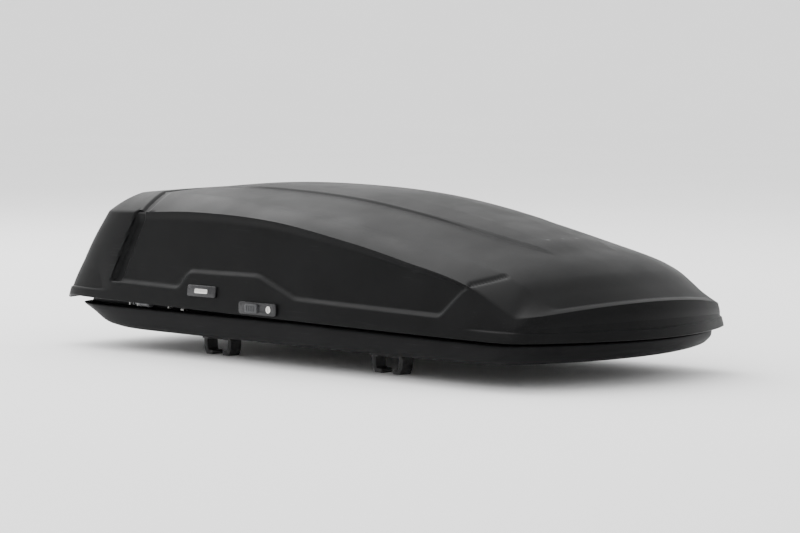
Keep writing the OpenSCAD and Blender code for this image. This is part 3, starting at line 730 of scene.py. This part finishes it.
def effect_in(tree, name, **values):
    made = node_in(tree, "ShaderNodeGroup", node_tree=EFFECTS[name])
    for label, value in values.items():
        made.inputs[label.replace("_", " ")].default_value = value
    return made.outputs


def bare_material(name):
    material = bpy.data.materials.new(name)
    material.use_nodes = True
    tree = material.node_tree
    shader = tree.nodes["Principled BSDF"]
    return material, tree, shader


def plastic(name, colour, light, rough, pebble=700, depth=0.08, wear=0.25, dust=0.05, drift=9,
            scratches=0.5, specular=0.42):
    """Moulded plastic or rubber: pebbled, a little cloudy, rubbed pale at its edges, with dust."""
    material, tree, shader = bare_material(name)
    grain = effect_in(tree, "moulded grain", Pebble=pebble, Drift=drift)
    worn = effect_in(tree, "rubbed edges", Reach=0.07, Break_up=90)["Mask"]
    marks = effect_in(tree, "fine scratches", Spread=scratches)
    dusty = effect_in(tree, "settled dust", Amount=dust)["Mask"]
    base = two_colours(tree, sums(tree, "MULTIPLY", grain["Cloud"], 0.5), (*colour, 1), (*light, 1))
    base = two_colours(tree, sums(tree, "MULTIPLY", grain["Speckle"], 0.55), base, (*light, 1))
    pale = tuple(min(1, c * 2.6 + 0.02) for c in light)
    base = two_colours(tree, sums(tree, "MULTIPLY", worn, wear), base, (*pale, 1))
    base = two_colours(tree, sums(tree, "MULTIPLY", marks["Scratch"], 0.35), base, (*pale, 1))
    base = two_colours(tree, dusty, base, (0.34, 0.32, 0.29, 1))
    tree.links.new(base, shader.inputs["Base Color"])
    gloss = ramp(tree, grain["Cloud"], 0, 1, rough - 0.05, rough + 0.06)
    gloss = sums(tree, "MULTIPLY_ADD", marks["Scuff"], -0.05, gloss)
    gloss = sums(tree, "MULTIPLY_ADD", worn, -0.10, gloss)
    tree.links.new(sums(tree, "MULTIPLY_ADD", dusty, 0.25, gloss, clamp=True),
                   shader.inputs["Roughness"])
    shader.inputs["Specular IOR Level"].default_value = specular
    height = sums(tree, "MULTIPLY_ADD", marks["Scratch"], -0.3, grain["Height"])
    bump = node_in(tree, "ShaderNodeBump", {"Height": height, "Strength": 0.6,
                                            "Distance": depth * MM})
    tree.links.new(bump.outputs[0], shader.inputs["Normal"])
    return material


def metal(name, colour, dark, rough, along=4, across=900, depth=0.03, wear=0.4, dust=0.08,
          metallic=1.0, pebble=1500):
    """Drawn, plated or coated metal with fine lines along it and rubbed edges."""
    material, tree, shader = bare_material(name)
    lines = effect_in(tree, "fine scratches", Spread=1.0, Along=along, Across=across)
    grain = effect_in(tree, "moulded grain", Pebble=pebble, Drift=14)
    worn = effect_in(tree, "rubbed edges", Reach=0.05, Break_up=120)["Mask"]
    dusty = effect_in(tree, "settled dust", Amount=dust)["Mask"]
    base = two_colours(tree, sums(tree, "MULTIPLY", grain["Cloud"], 0.6), (*colour, 1), (*dark, 1))
    base = two_colours(tree, sums(tree, "MULTIPLY", lines["Scratch"], 0.35), base, (*dark, 1))
    bright = tuple(min(1, c * 1.5 + 0.05) for c in colour)
    base = two_colours(tree, sums(tree, "MULTIPLY", worn, wear), base, (*bright, 1))
    base = two_colours(tree, dusty, base, (0.33, 0.31, 0.28, 1))
    tree.links.new(base, shader.inputs["Base Color"])
    gloss = ramp(tree, grain["Cloud"], 0, 1, rough - 0.06, rough + 0.08)
    gloss = sums(tree, "MULTIPLY_ADD", lines["Scratch"], 0.12, gloss)
    tree.links.new(sums(tree, "MULTIPLY_ADD", dusty, 0.3, gloss, clamp=True),
                   shader.inputs["Roughness"])
    tree.links.new(sums(tree, "MULTIPLY_ADD", dusty, -0.8 * metallic, metallic, clamp=True),
                   shader.inputs["Metallic"])
    height = sums(tree, "MULTIPLY_ADD", lines["Scratch"], -0.5, grain["Height"])
    bump = node_in(tree, "ShaderNodeBump", {"Height": height, "Strength": 0.4,
                                            "Distance": depth * MM})
    tree.links.new(bump.outputs[0], shader.inputs["Normal"])
    return material


def finishes():
    """One finish for each material slot of the record."""
    for make in (moulded_grain, rubbed_edges, fine_scratches, settled_dust):
        group = make()
        EFFECTS[group.name] = group
    made = {
        "lid_abs": plastic("textured black lid", (0.0018, 0.0019, 0.0020), (0.0055, 0.0057, 0.0060),
                           0.44, pebble=620, depth=0.14, dust=0.004, drift=6, wear=0.10,
                           specular=0.07),
        "base_abs": plastic("black tray", (0.0035, 0.0035, 0.0038), (0.010, 0.010, 0.0105), 0.52,
                            pebble=480, depth=0.18, dust=0.01, drift=7, wear=0.15, specular=0.07),
        "rail_alu": metal("milled rail", (0.58, 0.59, 0.60), (0.40, 0.41, 0.42), 0.36),
        "zinc_steel": metal("black zinc plate", (0.16, 0.16, 0.155), (0.09, 0.09, 0.088), 0.42, along=30,
                            across=260, pebble=240),
        "arm_steel": metal("coated arm steel", (0.045, 0.046, 0.048), (0.022, 0.023, 0.024), 0.42,
                           along=40, across=60, metallic=0.5, wear=0.7, pebble=900),
        "barrel_plastic": plastic("spring barrel", (0.030, 0.031, 0.033), (0.055, 0.056, 0.058),
                                  0.38, pebble=1200, depth=0.05),
        "glass_nylon": plastic("glass filled nylon", (0.016, 0.016, 0.017), (0.042, 0.042, 0.042),
                               0.47, pebble=950, depth=0.07, drift=24, wear=0.45, specular=0.2),
        "trim_gloss": plastic("satin trim", (0.013, 0.013, 0.014), (0.024, 0.024, 0.025), 0.22,
                              pebble=1600, depth=0.02, wear=0.2, specular=0.22),
        "handle_plastic": plastic("handle plastic", (0.028, 0.029, 0.031), (0.060, 0.061, 0.063),
                                  0.42, pebble=850, depth=0.08, wear=0.5, specular=0.25),
        "knob_red": plastic("red knob", (0.36, 0.018, 0.016), (0.44, 0.03, 0.025), 0.38,
                            pebble=1000, depth=0.06, wear=0.2, drift=20),
        "key_metal": metal("nickel key face", (0.66, 0.65, 0.62), (0.45, 0.44, 0.42), 0.24,
                           along=60, across=500, pebble=2200, depth=0.015),
        "pad_rubber": plastic("black rubber", (0.012, 0.012, 0.012), (0.022, 0.022, 0.022), 0.72,
                              pebble=1300, depth=0.06, dust=0.12, specular=0.3),
    }
    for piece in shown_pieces():
        wanted = piece.get("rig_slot") or SLOT_OF[piece.name]
        piece.data.materials.clear()
        piece.data.materials.append(made[wanted])


# ---------------------------------------------------------------- the studio
def camera():
    eye = Vector((5.764, -5.371, 0.780))
    aim = Vector((0.03, 0.0, 0.245))
    data = bpy.data.cameras.new("camera")
    data.lens = 134
    data.sensor_width = 36
    data.clip_start = 0.1
    data.clip_end = 400
    rig = bpy.data.objects.new("camera", data)
    rig.location = eye
    rig.rotation_mode = "QUATERNION"
    rig.rotation_quaternion = (aim - eye).to_track_quat("-Z", "Y")
    bpy.context.scene.collection.objects.link(rig)
    bpy.context.scene.camera = rig


def bowl_floor():
    """Pale floor that runs level a long way and then curves up on all sides."""
    rings = [(0, 0), (2, 0), (8, 0), (16, 0), (22, 0)]
    rings += [(22 + 12 * math.sin(t), 12 * (1 - math.cos(t))) for t in np.linspace(0.1, 1.45, 16)]
    count = 96
    angles = np.linspace(0, 2 * math.pi, count, endpoint=False)
    points = [(max(r, 0.001) * math.cos(a), max(r, 0.001) * math.sin(a), z)
              for r, z in rings for a in angles]
    faces = [tuple(range(count))]
    for k in range(len(rings) - 1):
        for i in range(count):
            j = (i + 1) % count
            faces.append((k * count + i, k * count + j, (k + 1) * count + j, (k + 1) * count + i))
    mesh = bpy.data.meshes.new("floor")
    mesh.from_pydata(points, [], faces)
    mesh.shade_smooth()
    floor = placed("floor", mesh)
    material, tree, shader = bare_material("pale floor")
    place = node_in(tree, "ShaderNodeTexCoord").outputs["Object"]
    noise = node_in(tree, "ShaderNodeTexNoise", {"Vector": place, "Scale": 0.8, "Detail": 3.0})
    tone = two_colours(tree, noise.outputs["Fac"], (0.83, 0.83, 0.83, 1), (0.87, 0.87, 0.87, 1))
    tree.links.new(tone, shader.inputs["Base Color"])
    shader.inputs["Roughness"].default_value = 0.85
    shader.inputs["Specular IOR Level"].default_value = 0.15
    mesh.materials.append(material)
    floor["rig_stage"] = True


def softbox(name, place, aim, size, power):
    light = bpy.data.lights.new(name, "AREA")
    light.shape = "RECTANGLE"
    light.size, light.size_y = size
    light.energy = power
    rig = bpy.data.objects.new(name, light)
    rig.location = place
    rig.rotation_mode = "QUATERNION"
    rig.rotation_quaternion = (Vector(aim) - Vector(place)).to_track_quat("-Z", "Y")
    bpy.context.scene.collection.objects.link(rig)


def lights():
    softbox("overhead", (-3.8, 0.2, 5.6), (0, 0, 0.3), (6, 8), 620)
    softbox("near_side", (1.5, -6.5, 5.5), (0, 0, 0.3), (7, 3), 120)
    world = bpy.data.worlds.new("studio")
    world.use_nodes = True
    back = world.node_tree.nodes["Background"]
    back.inputs["Color"].default_value = (1, 1, 1, 1)
    back.inputs["Strength"].default_value = 1.9
    bpy.context.scene.world = world


camera()
bowl_floor()
lights()
base_skin()
lid_skin()
small_parts()
rim_seal()
beam_screws()
badge_bars()
finishes()
